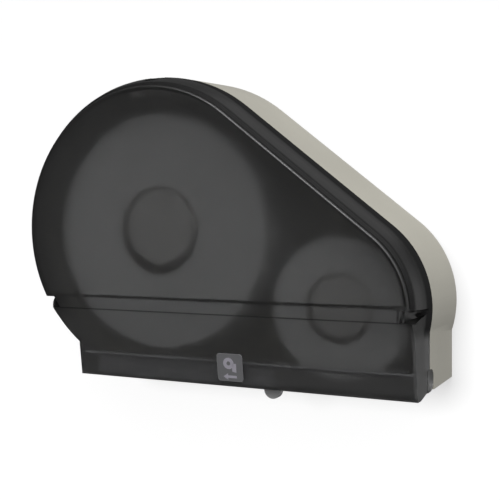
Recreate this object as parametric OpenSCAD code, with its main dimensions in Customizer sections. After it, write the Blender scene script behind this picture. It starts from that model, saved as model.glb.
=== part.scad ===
// Jumbo toilet roll dispenser with a stub roll hub: a wall housing, a hinged see-through cover, a slide door that
// leaves one outlet open at a time, a cam lock at the top, and two rolls that turn on fixed hubs.
//
// The row frame: +X to the right, +Y into the wall, +Z up, with the origin on the wall at the centre of the four
// wall screws. The shapes are drawn face on in (x, z) with depth measured out from the wall, and face_on() stands
// them up at the end.

/* [Outline] */
// Centre of the jumbo arc, across from the centre of the wall screws
jumbo_x = -25; // [-60:1:0]
// Centre of the jumbo arc, above the centre of the wall screws
jumbo_z = 40; // [20:1:60]
// Radius of the outline round the jumbo roll, at the seam
jumbo_arc_r = 148.5; // [140:0.5:165]
// Radius of the outline round the stub roll, at the seam
stub_arc_r = 91; // [84:0.5:105]
// Stub arc centre, to the right of the jumbo arc centre
arc_dx = 178; // [165:1:200]
// Stub arc centre, below the jumbo arc centre
arc_drop = 68; // [55:1:75]
// Left side of the skirt, left of the jumbo arc centre
skirt_left = 85; // [70:0.5:95]
// Right side of the skirt, right of the stub arc centre
skirt_right = 88.6; // [84:0.2:100]
// Bottom of the housing, below the jumbo arc centre
bottom_drop = 141; // [136:1:155]

/* [Housing] */
// Depth of the housing, wall to seam
base_depth = 76; // [65:1:90]
// Side wall thickness of the housing
base_wall = 3; // [2:0.1:4]
// Back wall thickness of the housing
back_wall = 3; // [2:0.1:4]
// How much the housing widens from the seam to the wall, each side
base_draft = 3; // [0.5:0.1:5]
// How much the skirt of the housing widens from the seam to the wall, each side
skirt_base_draft = 1; // [0.5:0.1:3]
// Depth of the floor that carries the tear bars
floor_depth = 28; // [20:1:40]
// Thickness of the floor
floor_t = 3; // [2:0.1:5]
// Rib that parts the two outlets, left of the stub arc centre
divider_left = 70; // [66:1:78]
// Height of the parting rib above the floor
divider_h = 55; // [30:1:60]
// Thickness of the parting rib
divider_t = 3; // [2:0.1:5]

/* [Wall screws] */
// Distance between wall screws, side to side
screw_dx = 190; // [185:1:200]
// Distance between wall screws, up and down
screw_dz = 100; // [90:1:105]
// Width of a wall screw slot
slot_w = 6.4; // [4.5:0.1:8]
// Length of a wall screw slot
slot_len = 14; // [10:0.5:18]
// Thickness of the pad round a wall screw slot, on top of the back wall
pad_t = 2; // [1:0.1:2.4]
// Rim of the pad round a wall screw slot
pad_rim = 5; // [3:0.5:7]

/* [Rolls] */
// Diameter of a full jumbo roll
jumbo_d = 228.6; // [200:0.2:236]
// Outer diameter of the jumbo core
jumbo_core_d = 86.6; // [84:0.2:90]
// Diameter of the stub roll
stub_d = 129; // [110:0.5:136]
// Outer diameter of the stub core
stub_core_d = 63.6; // [61:0.2:68]
// Width of the paper
roll_w = 82; // [78:0.5:83]
// Wall of a cardboard core
core_t = 1.3; // [0.8:0.1:2]

/* [Hubs] */
// Jumbo hub centre, right of its arc centre
jumbo_hub_dx = 1.5; // [-3:0.5:4]
// Jumbo hub centre, above its arc centre
jumbo_hub_dz = 2; // [-2:0.5:4]
// Stub hub centre, right of its arc centre
stub_hub_dx = 10; // [4:0.5:12]
// Stub hub centre, above its arc centre
stub_hub_dz = -1.5; // [-3:0.5:0]
// Radius of the jumbo hub
jumbo_hub_r = 37.9; // [34:0.1:39.5]
// Radius of the stub hub
stub_hub_r = 28.9; // [26:0.1:29.1]
// Wall of a hub
hub_wall = 2.5; // [1.5:0.1:3]
// Bevel at the front of a hub
hub_bevel = 3; // [1:0.1:4]
// Thickness of the hub foot that spaces the roll off the back wall
hub_foot_t = 2; // [1.5:0.1:3]
// How far the hub foot stands out past the hub
hub_foot_rim = 7; // [5.5:0.5:9]
// Gap between the roll and what carries or spaces it
roll_gap = 0.5; // [0.3:0.05:1]

/* [Cover] */
// Gap between the housing and the cover
seam_gap = 0.4; // [0.3:0.1:1]
// Wall thickness of the cover
cover_wall = 3; // [2:0.1:4]
// Front of the cover's face, from the wall
face_depth = 113; // [110:1:130]
// How far the lower edge of the cover's face stands behind the face
toe_back = 8; // [3:0.5:11]
// How far the cover's lower edge hangs below the housing
toe_drop = 4; // [1:0.5:5]
// How far the cover's side draws in between the seam and the shoulder
shoulder_in = 9.8; // [6:0.2:14]
// From the shoulder to the face, front to back
shoulder_back = 4.5; // [3:0.1:7]
// Edge of the raised face, in from the shoulder
face_edge_in = 3.1; // [2:0.1:5]
// How far the sides of the skirt draw in between the seam and the face
skirt_in = 3.5; // [1:0.5:6]
// Depth of the thick rim along the seam
rim_depth = 8; // [5:0.5:12]
// Extra thickness of the rim along the seam
rim_t = 2.2; // [1:0.1:3]
// Top edge of the groove, below the jumbo arc centre
groove_drop = 67; // [60:1:70]
// Height of the groove
groove_h = 11; // [6:0.5:13]
// Depth of the groove at the sides
groove_side = 6; // [2:0.5:7]
// Depth of the groove across the face
groove_face = 2; // [1:0.5:3]

/* [Hinge] */
// Hinge axis, behind the seam
hinge_back = 2; // [0:0.5:6]
// Radius of the cover's knuckles
knuckle_r = 9.5; // [7:0.5:11]
// Width of a knuckle
knuckle_w = 6; // [5:0.5:9]
// Radius of a hinge pin
pin_r = 2.5; // [1.5:0.1:3.5]
// Running clearance of a knuckle on its pin, all round
pin_fit = 0.05; // [0.02:0.01:0.1]
// Width of a hinge arm of the housing
arm_w = 4.8; // [3:0.2:7]
// Gap between a knuckle and what it turns in
knuckle_gap = 0.5; // [0.3:0.1:1]

/* [Slide door] */
// Length of the door
slide_len = 193; // [185:1:198]
// Left end of the door at rest, from the inside of the left hinge arm
slide_start = 10.5; // [1:0.5:14]
// Thickness of the door's strip and floor
slide_t = 2; // [1.5:0.1:2.4]
// Gap between the slide door and the stub roll, with the cover open and the door across
swing_gap = 1.5; // [0.5:0.1:4]
// Height of the door's front strip
slide_h = 15.5; // [10:0.5:16]
// Height of the tongue that runs in the rail
tongue_h = 3.5; // [3:0.5:6]
// Play of the door in its rails
slide_gap = 0.4; // [0.3:0.05:0.6]
// Radius of the finger tab
tab_r = 8.5; // [6:0.5:11]
// Thickness of the finger tab
tab_t = 6; // [3:0.5:8]
// How far the finger tab reaches below the cover
tab_drop = 12; // [7:0.5:14]
// How far the finger tab reaches past the door's right end
tab_past = 0.5; // [0:0.5:4]
// Length of the left end block
left_block = 40; // [20:1:45]
// Length of the right end block
right_block = 20; // [10:1:30]

/* [Icon plate] */
// Side of the square icon plate
icon_w = 26.5; // [15:0.5:30]
// Corner radius of the icon plate
icon_corner = 3; // [1:0.5:6]
// Thickness of the icon plate
icon_t = 1.2; // [0.8:0.1:2]
// How far the icon plate is let into the cover
icon_sink = 0.7; // [0.3:0.1:0.7]
// Centre of the icon plate, right of the jumbo arc centre
icon_dx = 87.5; // [70:0.5:110]
// Centre of the icon plate, above the cover's lower edge
icon_rise = 18; // [17.5:0.5:30]

/* [Lock] */
// Lock axis, right of the jumbo arc centre
lock_dx = 2; // [-10:1:20]
// Lock axis, behind the middle of the cover's side
lock_back = 2.3; // [1:0.1:4]
// Outer radius of the lock housing
lock_r = 8; // [7:0.5:9]
// Radius of the turning plug
plug_r = 6; // [4.5:0.1:6.2]
// Running clearance of the plug, all round
plug_fit = 0.05; // [0.02:0.01:0.1]
// Length of the lock cam from its axis
cam_len = 22; // [20:0.5:24]
// Width of the lock cam
cam_w = 10; // [8:0.5:11]
// Width of a finger of the keeper
finger_w = 10; // [6:0.5:12]
// Thickness of the keeper
keeper_t = 2.5; // [1.5:0.1:3]

/* [Tear bars] */
// Length of the stub outlet's tear bar
stub_bar_len = 110; // [80:1:120]
// Length of the jumbo outlet's tear bar
jumbo_bar_len = 150; // [100:1:160]
// Thickness of a tear bar
bar_t = 1; // [0.6:0.1:2]
// Pitch of the teeth
tooth_pitch = 5; // [3:0.5:8]
// Height of the teeth
tooth_h = 4; // [2:0.5:6]

/* [Hidden] */
$fn = 96;

// Outline
jumbo_c = [jumbo_x, jumbo_z];
stub_c = jumbo_c + [arc_dx, -arc_drop];
arc_gap = norm([arc_dx, arc_drop]);
tangent_a = acos((jumbo_arc_r - stub_arc_r) / arc_gap) - atan(arc_drop / arc_dx);
tangent_len = sqrt(pow(arc_gap, 2) - pow(jumbo_arc_r - stub_arc_r, 2));
left_x = jumbo_x - skirt_left;
right_x = stub_c.x + skirt_right;
bottom_z = jumbo_z - bottom_drop;
toe_z = bottom_z - toe_drop;
groove_top = jumbo_z - groove_drop;
groove_low = groove_top - groove_h;
top_z = jumbo_z + jumbo_arc_r + base_draft;
arc_end_a = 250;
under_a = -75;
band = 60;
core_in = 45;
core_step = 24;
core_low_in = 10;
core_low = groove_low - core_low_in;
beyond = 100;
over = 1;

// Depths
seam = base_depth + seam_gap;
shoulder = face_depth - shoulder_back;
toe_depth = face_depth - toe_back;
face_break = 0.6;
shoulder_break = 0.4;
skirt_break = 2;
skirt_rim_short = 1.4;
toe_flat = 8;
toe_ramp = 14;
side_steps = 6;
roll_back = back_wall + hub_foot_t + roll_gap;
roll_front = roll_back + roll_w;
hinge_depth = base_depth - hinge_back;
hinge_z = bottom_z + knuckle_r;
floor_top = bottom_z + floor_t;

// Hubs and rolls: each roll hangs on its hub
jumbo_hub_c = jumbo_c + [jumbo_hub_dx, jumbo_hub_dz];
stub_hub_c = stub_c + [stub_hub_dx, stub_hub_dz];
jumbo_bore_r = jumbo_core_d / 2 - core_t;
stub_bore_r = stub_core_d / 2 - core_t;
jumbo_roll_c = jumbo_hub_c - [0, jumbo_bore_r - jumbo_hub_r - roll_gap];
stub_roll_c = stub_hub_c - [0, stub_bore_r - stub_hub_r - roll_gap];
hub_front = roll_front + roll_gap;
hub_screw_count = 3;
hub_post_in = 9;
hub_post_r = 4.5;
hub_post_len = 16;
hub_screw_r = 1.75;
hub_screw_head_r = 3.6;
hub_screw_head_t = 2;
hub_screw_len = 12;

// Hinge
arm_left_x = left_x + knuckle_w + knuckle_gap;
arm_right_x = right_x - knuckle_w - knuckle_gap - arm_w;
arm_r = knuckle_r - 1.5;
pin_in_knuckle = knuckle_w - 1.5;
pin_end_gap = 0.3;
knuckle_root = 3;

// Slide door, in the cover's own rails
lip_t = 1.8;
lip_back = 13;
slide_low = toe_z + lip_t + slide_gap;
strip_room = 1.5;
slide_front = toe_depth - cover_wall - strip_room;
slide_back = hinge_depth + hinge_z - (stub_roll_c.y - stub_d / 2) + swing_gap;
slide_x = arm_left_x + arm_w + slide_start;
strip_top = slide_low + slide_h;
tongue_top = strip_top + tongue_h;
rail_t = 2;
rail_lip_h = 3;
rail_end_in = 1;
rail_z = tongue_top + slide_gap;
block_out = 1;
block_low = 1;
blob_r = 2.2;
bead_h = 1;
tab_x = slide_x + slide_len - tab_r + tab_past;
tab_front = toe_depth - cover_wall - lip_back - slide_gap;

// The lower face leans back from the groove to the toe
lean_a = atan((face_depth - toe_depth) / (groove_low - toe_z));
icon_c = [jumbo_x + icon_dx, toe_z + icon_rise];
icon_depth = toe_depth + (icon_c.y - toe_z) * tan(lean_a);

// Lock and keeper
lock_x = jumbo_x + lock_dx;
lock_depth = (seam + face_depth) / 2 - lock_back;
lock_sink = 5.7;
lock_top = jumbo_z + jumbo_arc_r - lock_sink;
lock_flange_r = lock_r + 1.5;
lock_flange_t = 1.2;
boss_r = lock_r + 3.5;
boss_h = 5.8;
boss_low = lock_top - boss_h;
nut_t = 2.5;
nut_af = 2 * lock_r + 5;
sleeve_past = 1.5;
sleeve_low = boss_low - nut_t - sleeve_past;
plug_past = 0.5;
plug_low = sleeve_low - plug_past;
plug_sink = 0.4;
cam_screw_in = 4;
cam_t = 2.4;
cam_gap = 0.8;
cam_low = plug_low - cam_t;
screw_head_t = 1.8;
key_slot = [1.8, 7];
key_depth = 2.5;
keeper_drop = 1.5;
keeper_top = boss_low - keeper_drop;
keeper_low = keeper_top - keeper_t;
finger_front = lock_depth + cam_w / 2 + cam_gap + keeper_t;
finger_past = 1.5;
finger_low = cam_low - finger_past;
keeper_gap = 1;
keeper_in = 30;
keeper_back = base_depth - keeper_in;
keeper_half = boss_r + keeper_gap + finger_w;
keeper_post_r = 5;
keeper_post_dx = 14;
keeper_post_in = 21;
keeper_post_back = base_depth - keeper_post_in;
keeper_screw_r = 1.5;
keeper_screw_in = 5;
keeper_post_top = jumbo_z + jumbo_arc_r - base_wall / 2;

// Tear bars
bar_w = 16;
bar_back = floor_depth - bar_w;
bar_screw_r = 1.5;
bar_screw_in = 12;
bar_screw_deep = 2;
bar_screw_head_t = 1.2;
bar_gap = 8;
bar_lip = 1;
divider_in = 10;
divider_x = stub_c.x - divider_left;
stub_bar_x = divider_x + divider_t + bar_gap;
jumbo_bar_x = divider_x - bar_gap - jumbo_bar_len;

function on_arc(c, r, a) = c + r * [cos(a), sin(a)];

// Closes an edge, listed as [out from the outline, depth] from back to front, to a line d inside the outline
function closed_to(edge, d) = concat([[-d, edge[0][1]]], edge, [[-d, edge[len(edge) - 1][1]]]);

// ---- drawing aids: face on, with depth up the third axis ----

module face_on() { rotate([90, 0, 0]) children(); }

// A flat shape between two depths
module slab(back, front) { translate([0, 0, back]) linear_extrude(front - back) children(); }

// A side view, drawn as [depth, z], between two x
module side_slab(x0, x1) { translate([x0, 0, 0]) rotate([0, 90, 0]) linear_extrude(x1 - x0) mirror([1, 0]) children(); }

// A plan view, drawn as [x, depth], between two z
module plan_slab(low, high) { translate([0, high, 0]) rotate([90, 0, 0]) linear_extrude(high - low) children(); }

// An edge taken round an arc of the outline
module round_arc(c, r, a0, a1) {
    translate([c.x, c.y, 0]) rotate(a0) rotate_extrude(angle = a1 - a0) translate([r, 0]) children();
}

// An edge taken along a straight of the outline whose outward side faces the angle a
module along(from, a, len) { translate([from.x, from.y, 0]) rotate([90, 0, a]) linear_extrude(len) children(); }

// A rod along z, in the face-on frame
module rod(x, depth, low, high, r, r_low = 0) {
    translate([x, high, depth]) rotate([90, 0, 0]) cylinder(h = high - low, r1 = r, r2 = r_low > 0 ? r_low : r);
}

// A rod along x, in the face-on frame
module cross_rod(x0, x1, z, depth, r) { translate([x0, z, depth]) rotate([0, 90, 0]) cylinder(h = x1 - x0, r = r); }

// The solid inside the outline: a band round its edge, a core, and the skirt from the bottom up to skirt_top.
// edge and skirt_edge list [out from the outline, depth] from back to front
module outline_form(edge, skirt_edge, bottom, skirt_top) {
    left = [for (p = skirt_edge) [left_x - p[0], p[1]]];
    right = [for (i = [len(skirt_edge) - 1:-1:0]) [right_x + skirt_edge[i][0], skirt_edge[i][1]]];
    round_arc(jumbo_c, jumbo_arc_r, tangent_a, arc_end_a) polygon(closed_to(edge, band));
    round_arc(stub_c, stub_arc_r, under_a, tangent_a) polygon(closed_to(edge, band));
    along(on_arc(jumbo_c, jumbo_arc_r, tangent_a), tangent_a, tangent_len) polygon(closed_to(edge, band));
    slab(edge[0][1], edge[len(edge) - 1][1]) polygon(concat(
        [for (i = [4:-1:0]) on_arc(stub_c, stub_arc_r - core_in, tangent_a - (i + 0.5) * core_step)],
        [for (i = [0:7]) on_arc(jumbo_c, jumbo_arc_r - core_in, tangent_a + (i + 0.5) * core_step)],
        [[left_x + core_in, core_low]]
    ));
    plan_slab(bottom, skirt_top) polygon(concat(left, right));
}

// ---- housing ----

function base_edge(inset, back, front) = [for (d = [back, front]) [base_draft * (1 - d / base_depth) - inset, d]];
function base_skirt(inset, back, front) =
    [for (d = [back, front]) [skirt_base_draft * (1 - d / base_depth) - inset, d]];

// The housing's form, past the depths back and front by a little, for a cut to end it there
module base_form(inset, back, front) {
    outline_form(base_edge(inset, back - over, front + over), base_skirt(inset, back - over, front + over),
                 bottom_z - 2 * over, groove_low);
}

// Wall screw slots, or the pads round them
module screw_slots(rim) {
    for (x = [-screw_dx / 2, screw_dx / 2], z = [-screw_dz / 2, screw_dz / 2])
        translate([x, z]) {
            half = (slot_len - slot_w) / 2;
            for (s = [-half, half]) translate([s, 0]) circle(slot_w / 2 + rim);
            translate([-half, -slot_w / 2 - rim]) square([2 * half, slot_w + 2 * rim]);
        }
}

// The side walls open round the knuckles
module knuckle_room(x0, x1) {
    cross_rod(x0, x1, hinge_z, hinge_depth, knuckle_r + knuckle_gap);
    side_slab(x0, x1)
        translate([hinge_depth - knuckle_r - knuckle_gap, bottom_z - over])
            square([knuckle_r + knuckle_gap + hinge_back + over, hinge_z - bottom_z + over]);
}

module hinge_arm(x) {
    difference() {
        union() {
            side_slab(x, x + arm_w)
                translate([back_wall / 2, bottom_z]) square([hinge_depth - back_wall / 2, hinge_z + arm_r - bottom_z]);
            cross_rod(x, x + arm_w, hinge_z, hinge_depth, arm_r);
        }
        cross_rod(x - over, x + arm_w + over, hinge_z, hinge_depth, pin_r);
    }
}

module hub_screw_places(c, hub_r) {
    for (i = [0:hub_screw_count - 1])
        translate(concat(on_arc(c, hub_r - hub_post_in, 90 + i * 360 / hub_screw_count), 0)) children();
}

module base_housing() {
    color([0.68, 0.66, 0.61]) face_on() difference() {
        union() {
            difference() {
                intersection() {
                    base_form(0, 0, base_depth);
                    side_slab(left_x - beyond, right_x + beyond)
                        translate([0, bottom_z]) square([base_depth, top_z - bottom_z + over]);
                }
                intersection() {
                    base_form(base_wall, back_wall, base_depth + over);
                    side_slab(left_x - beyond, right_x + beyond) polygon([
                        [back_wall, floor_top], [floor_depth, floor_top], [floor_depth, bottom_z - over],
                        [base_depth + over, bottom_z - over], [base_depth + over, top_z], [back_wall, top_z]
                    ]);
                }
                knuckle_room(left_x - base_wall, arm_left_x);
                knuckle_room(arm_right_x + arm_w, right_x + base_wall);
            }
            slab(back_wall / 2, back_wall + pad_t) screw_slots(pad_rim);
            side_slab(divider_x, divider_x + divider_t) polygon([
                [back_wall / 2, bottom_z], [floor_depth, bottom_z], [base_depth - divider_in, floor_top + divider_h / 2],
                [base_depth - divider_in, floor_top + divider_h], [back_wall / 2, floor_top + divider_h]
            ]);
            hinge_arm(arm_left_x);
            hinge_arm(arm_right_x);
            for (s = [-1, 1])
                rod(lock_x + s * keeper_post_dx, keeper_post_back, keeper_top, keeper_post_top, keeper_post_r);
        }
        slab(-1, back_wall + pad_t + 1) screw_slots(0);
        hub_screw_places(jumbo_hub_c, jumbo_hub_r) hub_screw_hole();
        hub_screw_places(stub_hub_c, stub_hub_r) hub_screw_hole();
        for (s = [-1, 1])
            rod(lock_x + s * keeper_post_dx, keeper_post_back, keeper_top - over, keeper_top + keeper_screw_in,
                keeper_screw_r);
        tear_bar_places() rod(0, 0, floor_top - bar_screw_deep, floor_top + over, bar_screw_r);
    }
}

module hub_screw_hole() {
    translate([0, 0, -over]) cylinder(h = back_wall + 2 * over, r = hub_screw_r);
    cylinder(h = hub_screw_head_t, r1 = hub_screw_head_r, r2 = hub_screw_r);
    translate([0, 0, -over]) cylinder(h = over, r = hub_screw_head_r);
}

// ---- hubs ----

module hub(c, r) {
    face_on() difference() {
        union() {
            translate([c.x, c.y, 0]) rotate_extrude() polygon([
                [0, hub_front - hub_wall], [r - hub_wall, hub_front - hub_wall], [r - hub_wall, back_wall],
                [r + hub_foot_rim, back_wall], [r + hub_foot_rim, back_wall + hub_foot_t],
                [r, back_wall + hub_foot_t], [r, hub_front - hub_bevel], [r - hub_bevel, hub_front], [0, hub_front]
            ]);
            hub_screw_places(c, r) translate([0, 0, back_wall]) cylinder(h = hub_post_len, r = hub_post_r);
            for (i = [0:hub_screw_count - 1]) hub_web(c, r, 90 + i * 360 / hub_screw_count);
        }
        hub_screw_places(c, r)
            translate([0, 0, back_wall - over]) cylinder(h = hub_screw_len - back_wall + over, r = hub_screw_r);
    }
}

// A web from a screw post to the hub's wall
module hub_web(c, r, a) {
    translate([c.x, c.y, back_wall]) rotate(a)
        translate([r - hub_post_in + hub_post_r / 2, -hub_wall / 2, 0])
            cube([hub_post_in - hub_post_r / 2 - hub_wall / 2, hub_wall, hub_post_len]);
}

module jumbo_hub() { color([0.62, 0.6, 0.56]) hub(jumbo_hub_c, jumbo_hub_r); }
module stub_hub() { color([0.62, 0.6, 0.56]) hub(stub_hub_c, stub_hub_r); }

module hub_screw() {
    cylinder(h = hub_screw_head_t, r1 = hub_screw_head_r, r2 = hub_screw_r);
    cylinder(h = hub_screw_len, r = hub_screw_r);
}

module hub_screws() {
    color([0.75, 0.75, 0.76]) face_on() {
        hub_screw_places(jumbo_hub_c, jumbo_hub_r) hub_screw();
        hub_screw_places(stub_hub_c, stub_hub_r) hub_screw();
    }
}

// ---- hinge ----

module hinge_pins() {
    color([0.75, 0.75, 0.76]) face_on() {
        cross_rod(arm_left_x - knuckle_gap - pin_in_knuckle, arm_left_x + arm_w, hinge_z, hinge_depth, pin_r);
        cross_rod(arm_right_x, arm_right_x + arm_w + knuckle_gap + pin_in_knuckle, hinge_z, hinge_depth, pin_r);
    }
}

// ---- tear bars ----

module tear_bar_places() {
    for (x = [jumbo_bar_x + bar_screw_in, jumbo_bar_x + jumbo_bar_len - bar_screw_in,
              stub_bar_x + bar_screw_in, stub_bar_x + stub_bar_len - bar_screw_in])
        translate([x, 0, bar_back + bar_w / 3]) children();
}

module tear_bar(x, len) {
    count = floor(len / tooth_pitch);
    pitch = len / count;
    face_on() difference() {
        plan_slab(floor_top, floor_top + bar_t) polygon(concat(
            [[x, bar_back]],
            [for (i = [0:count - 1], p = [0, 1]) [x + (i + p / 2) * pitch, floor_depth + bar_lip + p * tooth_h]],
            [[x + len, floor_depth + bar_lip], [x + len, bar_back]]
        ));
        tear_bar_places() rod(0, 0, floor_top - over, floor_top + bar_t + over, bar_screw_r);
    }
}

module jumbo_tear_bar() { color([0.8, 0.8, 0.82]) tear_bar(jumbo_bar_x, jumbo_bar_len); }
module stub_tear_bar() { color([0.8, 0.8, 0.82]) tear_bar(stub_bar_x, stub_bar_len); }

module tear_bar_screws() {
    color([0.75, 0.75, 0.76]) face_on() tear_bar_places() {
        rod(0, 0, floor_top - bar_screw_deep, floor_top + bar_t, bar_screw_r);
        rod(0, 0, floor_top + bar_t, floor_top + bar_t + bar_screw_head_t, 2 * bar_screw_r);
    }
}

// ---- keeper ----

module lock_keeper() {
    color([0.66, 0.64, 0.6]) face_on() difference() {
        union() {
            plan_slab(keeper_low, keeper_top)
                translate([lock_x - keeper_half, keeper_back]) square([2 * keeper_half, finger_front - keeper_back]);
            plan_slab(finger_low, keeper_top)
                translate([lock_x - keeper_half, finger_front - keeper_t]) square([2 * keeper_half, keeper_t]);
        }
        plan_slab(finger_low - over, keeper_top + over) {
            translate([lock_x, lock_depth]) circle(boss_r + keeper_gap);
            translate([lock_x - boss_r - keeper_gap, lock_depth])
                square([2 * (boss_r + keeper_gap), finger_front - lock_depth + over]);
        }
        for (s = [-1, 1])
            rod(lock_x + s * keeper_post_dx, keeper_post_back, keeper_low - over, keeper_top + over, keeper_screw_r);
    }
}

module keeper_screws() {
    color([0.75, 0.75, 0.76]) face_on() for (s = [-1, 1]) {
        rod(lock_x + s * keeper_post_dx, keeper_post_back, keeper_low, keeper_top + keeper_screw_in, keeper_screw_r);
        rod(lock_x + s * keeper_post_dx, keeper_post_back, keeper_low - screw_head_t, keeper_low, 2 * keeper_screw_r);
    }
}

// ---- cover ----

// How far the cover's side has drawn in at a depth
function drawn_in(d) = shoulder_in * pow(max(0, d - seam) / (shoulder - seam), 2);

// The cover's edge: a thick rim at the seam, a curved side, the shoulder, and the raised face. An inset edge is
// the outer one moved in by side and back by face. It runs past both ends by a little, for a cut to end it there
function cover_edge(side, face, back, rim) =
    let (side_start = rim > 0 ? seam + rim_depth + rim : back)
    concat(
        [[-side - rim, back - over]],
        rim > 0 ? [[-side - rim - drawn_in(seam + rim_depth), seam + rim_depth]] : [],
        [for (i = [rim > 0 ? 0 : 1:side_steps])
            let (d = side_start + (shoulder - face - side_start) * i / side_steps) [-side - drawn_in(d + face), d]],
        [[-side - shoulder_in - face_edge_in / 2, shoulder + shoulder_break - face],
         [-side - shoulder_in - face_edge_in + face_break, face_depth - face_break - face],
         [-side - shoulder_in - face_edge_in - over, face_depth + over - face]]
    );

// The skirt's sides, straight from the seam to the face. Their rim ends short of the arcs', so that the two
// creases don't meet in a point
function cover_skirt(side, face, back, rim) =
    let (lean = skirt_in / (face_depth - seam), rim_run = rim_depth - skirt_rim_short)
    concat(
        [[-side - rim, back - over]],
        rim > 0 ? [[-side - rim - rim_run * lean, seam + rim_run],
                   [-side - (rim_run + rim) * lean, seam + rim_run + rim]] : [],
        [[-side - skirt_in + skirt_break * lean, face_depth - skirt_break - face],
         [-side - skirt_in - skirt_break - over, face_depth + over - face]]
    );

module cover_form(side, face, back, rim, low, skirt_top) {
    intersection() {
        outline_form(cover_edge(side, face, back, rim), cover_skirt(side, face, back, rim), low - over, skirt_top);
        side_slab(left_x - beyond, right_x + beyond) polygon([
            [back, top_z], [face_depth - face, top_z], [face_depth - face, groove_low],
            [toe_depth - face - (toe_z - low) * tan(lean_a), low], [seam + toe_flat + toe_ramp, low],
            [seam + toe_flat, low + toe_drop], [back, low + toe_drop]
        ]);
    }
}

// The groove's height across the whole cover, from in front of the rim, grown by a wall
module groove_band(grow) {
    back = seam + rim_depth - grow;
    side_slab(left_x - beyond, right_x + beyond)
        translate([back, groove_low - grow]) square([face_depth - back + over, groove_h + 2 * grow]);
}

module cover_cavity() {
    far = seam - over;
    open_low = toe_z - toe_drop - over;
    difference() {
        cover_form(cover_wall, cover_wall, far, rim_t, open_low, groove_low + over);
        groove_band(cover_wall);
    }
    intersection() {
        cover_form(cover_wall + groove_side, cover_wall + groove_face, far, 0, open_low, groove_low - cover_wall - over);
        groove_band(cover_wall);
    }
}

module cover_shell() {
    color([0.2, 0.2, 0.21]) face_on() difference() {
        union() {
            difference() {
                cover_form(0, 0, seam, 0, toe_z, groove_low + over);
                difference() {
                    groove_band(0);
                    cover_form(groove_side, groove_face, seam - over, 0, toe_z, groove_low - over);
                }
                cover_cavity();
            }
            knuckle(left_x);
            knuckle(right_x - knuckle_w);
            cover_lip();
            intersection() {
                rod(lock_x, lock_depth, boss_low, top_z, boss_r);
                cover_form(0, 0, seam, 0, toe_z, groove_low + over);
            }
        }
        cross_rod(left_x + knuckle_w - pin_in_knuckle - pin_end_gap, left_x + knuckle_w + over, hinge_z, hinge_depth,
                  pin_r + pin_fit);
        cross_rod(right_x - knuckle_w - over, right_x - knuckle_w + pin_in_knuckle + pin_end_gap, hinge_z, hinge_depth,
                  pin_r + pin_fit);
        rod(lock_x, lock_depth, boss_low - over, top_z, lock_r);
        rod(lock_x, lock_depth, lock_top - lock_flange_t, top_z, lock_flange_r);
        on_lean() translate([0, 0, -icon_sink]) linear_extrude(icon_t) icon_outline();
    }
}

module knuckle(x) {
    cross_rod(x, x + knuckle_w, hinge_z, hinge_depth, knuckle_r);
    side_slab(x, x + knuckle_w)
        translate([hinge_depth, bottom_z]) square([seam + cover_wall + knuckle_root - hinge_depth, 2 * knuckle_r]);
}

// The lip along the toe that carries the slide door
module cover_lip() {
    plan_slab(toe_z, toe_z + lip_t)
        translate([left_x + cover_wall, toe_depth - cover_wall - lip_back])
            square([right_x - left_x - 2 * cover_wall, lip_back + cover_wall / 2]);
}

module slide_rail() {
    x0 = left_x + cover_wall + skirt_in + rail_end_in;
    x1 = right_x - cover_wall - skirt_in - rail_end_in;
    inside = toe_depth - cover_wall + (rail_z - toe_z) * tan(lean_a);
    color([0.24, 0.24, 0.25]) face_on() side_slab(x0, x1) polygon([
        [slide_front - slide_t - slide_gap - rail_t, rail_z - rail_lip_h],
        [slide_front - slide_t - slide_gap, rail_z - rail_lip_h],
        [slide_front - slide_t - slide_gap, rail_z], [inside, rail_z],
        [inside + rail_t * tan(lean_a), rail_z + rail_t],
        [slide_front - slide_t - slide_gap - rail_t, rail_z + rail_t]
    ]);
}

// ---- icon plate ----

module on_lean() { translate([icon_c.x, icon_c.y, icon_depth]) rotate([lean_a, 0, 0]) children(); }

module icon_outline() {
    half = icon_w / 2 - icon_corner;
    for (x = [-half, half], y = [-half, half]) translate([x, y]) circle(icon_corner);
    square([icon_w, 2 * half], center = true);
    square([2 * half, icon_w], center = true);
}

module icon_plate() {
    color([0.42, 0.42, 0.44]) face_on() on_lean() translate([0, 0, -icon_sink]) linear_extrude(icon_t) icon_outline();
}

// ---- lock ----

module lock_housing() {
    color([0.7, 0.7, 0.72]) face_on() difference() {
        union() {
            rod(lock_x, lock_depth, sleeve_low, lock_top, lock_r);
            rod(lock_x, lock_depth, lock_top - lock_flange_t, lock_top, lock_flange_r);
        }
        rod(lock_x, lock_depth, sleeve_low - over, lock_top + over, plug_r + plug_fit);
    }
}

module lock_nut() {
    color([0.72, 0.72, 0.74]) face_on() difference() {
        translate([lock_x, boss_low, lock_depth]) rotate([90, 0, 0])
            cylinder(h = nut_t, r = nut_af / 2 / cos(30), $fn = 6);
        rod(lock_x, lock_depth, boss_low - nut_t - over, boss_low + over, lock_r);
    }
}

module lock_plug() {
    color([0.78, 0.78, 0.8]) face_on() difference() {
        rod(lock_x, lock_depth, plug_low, lock_top - plug_sink, plug_r);
        plan_slab(lock_top - plug_sink - key_depth, lock_top + over)
            translate([lock_x, lock_depth]) square(key_slot, center = true);
        rod(lock_x, lock_depth, plug_low - over, plug_low + cam_screw_in, keeper_screw_r);
    }
}

module lock_cam() {
    color([0.7, 0.7, 0.72]) face_on() difference() {
        plan_slab(cam_low, plug_low) {
            translate([lock_x, lock_depth]) circle(plug_r);
            translate([lock_x - cam_w / 2, lock_depth - cam_len + cam_w / 2]) square([cam_w, cam_len - cam_w / 2]);
            translate([lock_x, lock_depth - cam_len + cam_w / 2]) circle(cam_w / 2);
        }
        rod(lock_x, lock_depth, cam_low - over, plug_low + over, keeper_screw_r);
    }
}

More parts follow.
